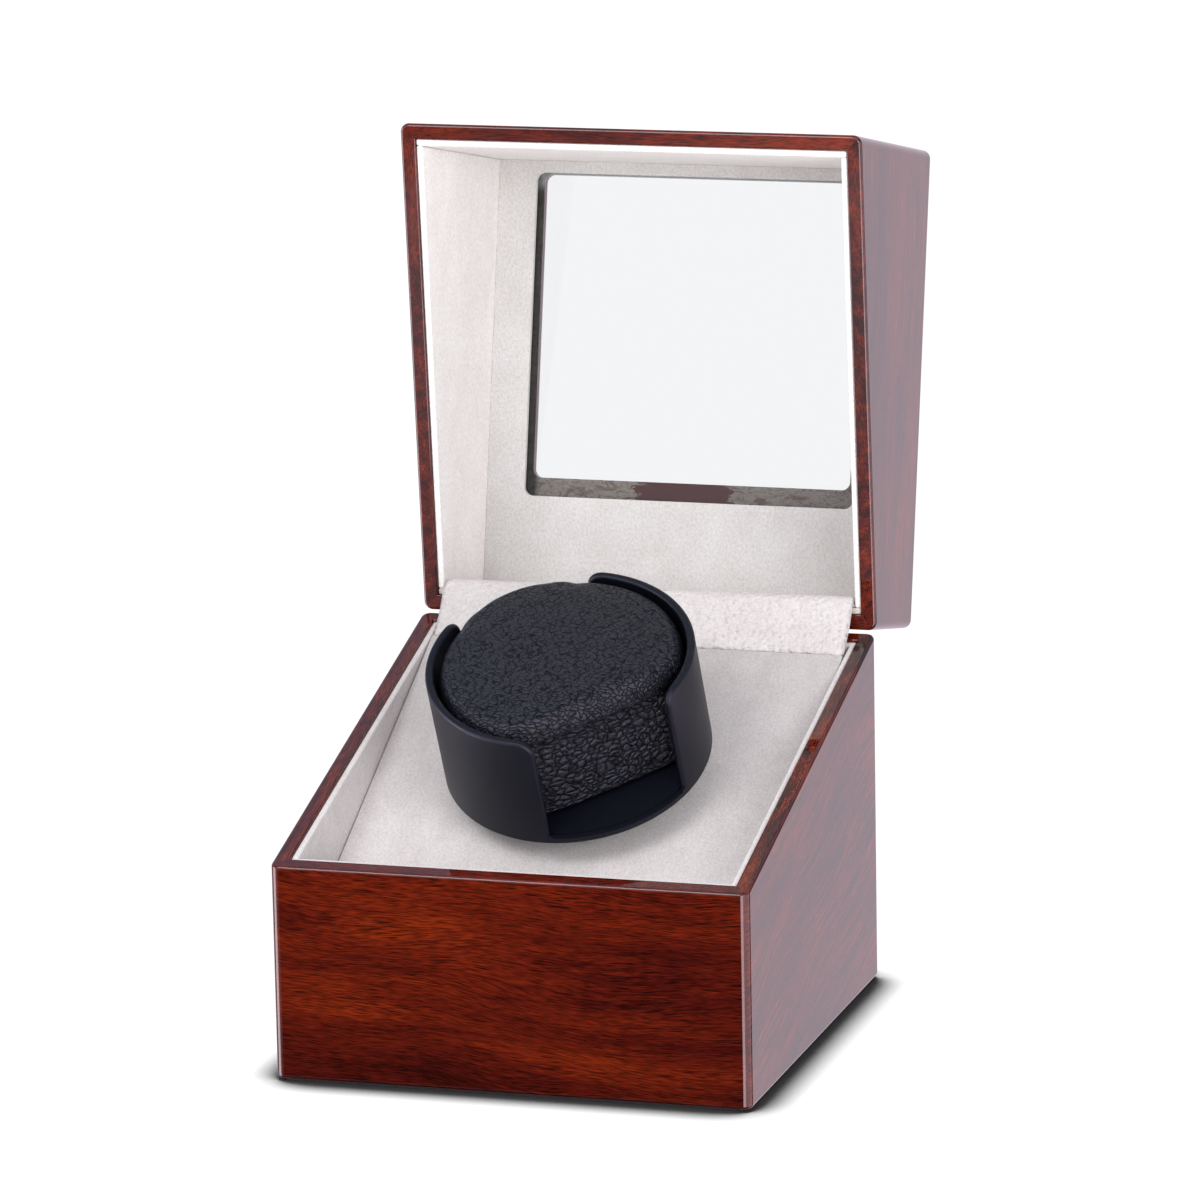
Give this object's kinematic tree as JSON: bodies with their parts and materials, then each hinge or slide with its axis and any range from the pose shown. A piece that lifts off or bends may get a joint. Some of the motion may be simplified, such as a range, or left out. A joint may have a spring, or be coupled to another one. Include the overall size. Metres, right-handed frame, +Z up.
{
  "type": "watch winder",
  "caption": "Wooden watch winder with a sloping rim, a hinged windowed lid, a velvet platform and a tilted motor-driven cup that holds a lift-out cushion",
  "frame": {"origin": "centre of the felt underside, on the surface the winder stands on", "axes": "+X to the right seen from the front, +Y from the front to the hinged back, +Z up; the lid is open in the rest pose"},
  "size_m": [0.16, 0.247, 0.2906],
  "materials": {
    "lacquered_wood": "high-gloss lacquered veneer",
    "plain_wood": "raw board",
    "velvet": "short cream velvet",
    "felt": "thin felt",
    "glass": "clear",
    "black_plastic": "satin",
    "leatherette": "fine pebble grain",
    "brass": "brushed",
    "steel": "brushed",
    "screws": "zinc plated",
    "gear_plastic": "moulded acetal",
    "circuit_board": "solder mask"
  },
  "bodies": {
    "base": {"base_back_panel": "lacquered_wood", "base_bottom_panel": "plain_wood", "base_felt": "felt", "base_front_panel": "lacquered_wood", "base_left_panel": "lacquered_wood", "base_lining_back": "velvet", "base_lining_front": "velvet", "base_lining_left": "velvet", "base_lining_right": "velvet", "base_right_panel": "lacquered_wood", "board_screws": "screws", "board_standoffs": "brass", "bottom_screws": "screws", "bracket_bush": "gear_plastic", "bracket_pillars": "steel", "bracket_screws": "screws", "control_board": "circuit_board", "control_plate": "black_plastic", "control_plate_screws": "screws", "corner_blocks": "plain_wood", "drive_bracket": "steel", "gear_motor": "steel", "hinge_base_leaves": "brass", "hinge_base_screws": "brass", "hinge_cover": "velvet", "inlet_nut": "steel", "motor_screws": "screws", "platform_back_rail": "plain_wood", "platform_board": "plain_wood", "platform_bush": "gear_plastic", "platform_cleats": "plain_wood", "platform_cover": "velvet", "power_inlet": "black_plastic", "rocker_housing": "black_plastic", "selector_body": "black_plastic"},
    "lid": {"lid_front_panel": "lacquered_wood", "lid_left_panel": "lacquered_wood", "lid_right_panel": "lacquered_wood", "lid_back_panel": "lacquered_wood", "lid_top_panel": "lacquered_wood", "lid_window_pane": "glass", "lid_lining_front": "velvet", "lid_lining_left": "velvet", "lid_lining_right": "velvet", "lid_lining_back": "velvet", "lid_lining_top": "velvet", "hinge_lid_leaves": "brass", "hinge_lid_screws": "brass", "hinge_pins": "brass"},
    "turntable": {"cup": "black_plastic", "spindle": "steel", "driven_gear": "gear_plastic", "spindle_clip": "steel", "cup_screw": "screws"},
    "cushion": {"cushion_cap": "leatherette", "cushion_band": "leatherette"},
    "pinion": {"motor_pinion": "gear_plastic", "motor_shaft": "steel"},
    "knob": {"selector_knob": "black_plastic"},
    "rocker": {"power_rocker": "black_plastic"}
  },
  "joints": [
    {"name": "lid_hinge", "type": "hinge", "parent": "base", "child": "lid", "pos_m": [0, 0.0823, 0.1203], "axis": [1, 0, 0], "range_deg": [0, 101.8], "deforming": ["hinge_cover"]},
    {"name": "cup_spin", "type": "hinge", "parent": "base", "child": "turntable", "pos_m": [0, 0.0048, 0.08343], "axis": [0, -0.454, 0.891], "continuous": true},
    {"name": "cushion_lift", "type": "slide", "parent": "turntable", "child": "cushion", "axis": [0, -0.454, 0.891], "range_m": [0, 0.014]},
    {"name": "pinion_spin", "type": "hinge", "parent": "base", "child": "pinion", "pos_m": [0, 0.03153, 0.09705], "axis": [0, -0.454, 0.891], "continuous": true},
    {"name": "mode_knob_turn", "type": "hinge", "parent": "base", "child": "knob", "pos_m": [0, 0.084, 0.031], "axis": [0, -1, 0], "range_deg": [0, 270]},
    {"name": "power_rocker_tilt", "type": "hinge", "parent": "base", "child": "rocker", "pos_m": [-0.018, 0.082, 0.031], "axis": [0, 0, 1], "range_deg": [0, 14]}
  ],
  "couplings": [
    {"joint": "pinion_spin", "follows": "cup_spin", "ratio": -4}
  ]
}
